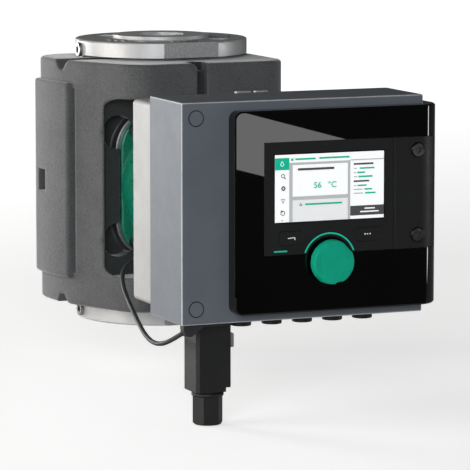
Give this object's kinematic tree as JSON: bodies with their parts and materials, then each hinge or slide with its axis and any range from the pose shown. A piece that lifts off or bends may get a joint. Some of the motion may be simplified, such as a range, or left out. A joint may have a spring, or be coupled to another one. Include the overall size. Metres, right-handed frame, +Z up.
{
  "type": "circulator pump",
  "caption": "In-line glandless circulator pump with flanged ports, insulation shell, motor and an electronic control module with display, rotary knob and plug-in mains connector.",
  "frame": {"origin": "centre of the lower flange's sealing face, on the pipe axis", "axes": "+Z up the pipe axis to the upper flange, -Y along the motor axis towards the display, -X to the power connector's side"},
  "size_m": [0.2277, 0.408, 0.2924],
  "materials": {
    "stainless": "machined stainless casting",
    "stainless_ring": "turned stainless",
    "rubber": "matt rubber",
    "plug_steel": "satin steel",
    "bearing_plate": "pressed stainless",
    "carbon": "carbon graphite",
    "can_steel": "drawn stainless",
    "lamination": "stacked electrical steel",
    "copper": "enamelled copper",
    "cast_flange": "cast aluminium",
    "motor_green": "satin green paint",
    "screw_steel": "zinc plated steel",
    "heat_sink": "blasted aluminium",
    "module_grey": "fine structured grey",
    "cap_grey": "satin grey",
    "board": "solder-masked board",
    "capacitor": "sleeved can",
    "panel_gloss": "high gloss black",
    "band_matt": "matt black",
    "display_glass": "clear window",
    "lcd_frame": "display with frame",
    "screw_black": "black screw head",
    "light_green": "light guide",
    "switch_black": "switch body",
    "stem_steel": "ground steel",
    "knob_green": "soft matt green",
    "plug_black": "moulded black",
    "socket_grey": "moulded dark grey",
    "latch_grey": "moulded grey",
    "lead_black": "soft black jacket",
    "connector_grey": "moulded dark grey",
    "shell_foam": "beaded insulating foam",
    "impeller_polymer": "glass filled polymer"
  },
  "bodies": {
    "pump": {"pump_housing": "stainless", "housing_seal": "rubber", "wear_ring": "stainless_ring", "pressure_plug_lower": "plug_steel", "pressure_plug_upper": "plug_steel", "bearing_plate": "bearing_plate", "front_bearing": "carbon", "rear_bearing": "carbon", "separating_can": "can_steel", "stator_core": "lamination", "stator_windings": "copper", "motor_flange": "cast_flange", "motor_housing": "motor_green", "motor_screw_1": "screw_steel", "motor_screw_2": "screw_steel", "motor_screw_3": "screw_steel", "motor_screw_4": "screw_steel", "module_adapter": "heat_sink", "module_housing": "module_grey", "screw_cap_top": "cap_grey", "screw_cap_bottom": "cap_grey", "power_board": "board", "control_board": "board", "hmi_board": "board", "capacitor_1": "capacitor", "capacitor_2": "capacitor", "front_panel": "panel_gloss", "display_band": "band_matt", "display_window": "display_glass", "display_module": "lcd_frame", "slot_cover": "band_matt", "slot_screw_top": "screw_black", "slot_screw_bottom": "screw_black", "light_arc": "light_green", "status_led": "light_green", "encoder_body": "switch_black", "blanking_plug_1": "plug_black", "blanking_plug_2": "plug_black", "blanking_plug_3": "plug_black", "blanking_plug_4": "plug_black", "blanking_plug_5": "plug_black", "power_socket": "socket_grey", "sensor_lead": "lead_black", "sensor_grommet": "plug_black", "sensor_connector": "connector_grey", "shell_left": "shell_foam", "shell_right": "shell_foam"},
    "rotor": {"rotor_shaft": "stem_steel", "rotor_core": "lamination", "impeller": "impeller_polymer"},
    "encoder_plunger": {"encoder_plunger": "stem_steel"},
    "knob": {"knob": "knob_green"},
    "back_key": {"back_key": "band_matt"},
    "menu_key": {"menu_key": "band_matt"},
    "power_plug": {"plug_body": "plug_black", "gland_collar": "plug_black", "gland_nut": "plug_black", "gland_seal": "rubber"},
    "plug_latch": {"plug_latch": "latch_grey"}
  },
  "joints": [
    {"name": "rotor_spin", "type": "hinge", "parent": "pump", "child": "rotor", "pos_m": [0, 0, 0.125], "axis": [0, 1, 0], "continuous": true},
    {"name": "knob_press", "type": "slide", "parent": "pump", "child": "encoder_plunger", "axis": [0, 1, 0], "range_m": [0, 0.001], "stiffness_N_per_m": 2000},
    {"name": "knob_turn", "type": "hinge", "parent": "encoder_plunger", "child": "knob", "pos_m": [0.01685, -0.33, 0.0894], "axis": [0, 1, 0], "continuous": true},
    {"name": "back_press", "type": "slide", "parent": "pump", "child": "back_key", "axis": [0, 1, 0], "range_m": [0, 0.0006], "stiffness_N_per_m": 2000},
    {"name": "menu_press", "type": "slide", "parent": "pump", "child": "menu_key", "axis": [0, 1, 0], "range_m": [0, 0.0006], "stiffness_N_per_m": 2000},
    {"name": "plug_pull", "type": "slide", "parent": "pump", "child": "power_plug", "axis": [0, 0, -1], "range_m": [0, 0.03]},
    {"name": "latch_press", "type": "hinge", "parent": "power_plug", "child": "plug_latch", "pos_m": [-0.0575, -0.2879, 0.0208], "axis": [0, 1, 0], "range_deg": [0, 3], "stiffness_Nm_per_rad": 0.5}
  ]
}
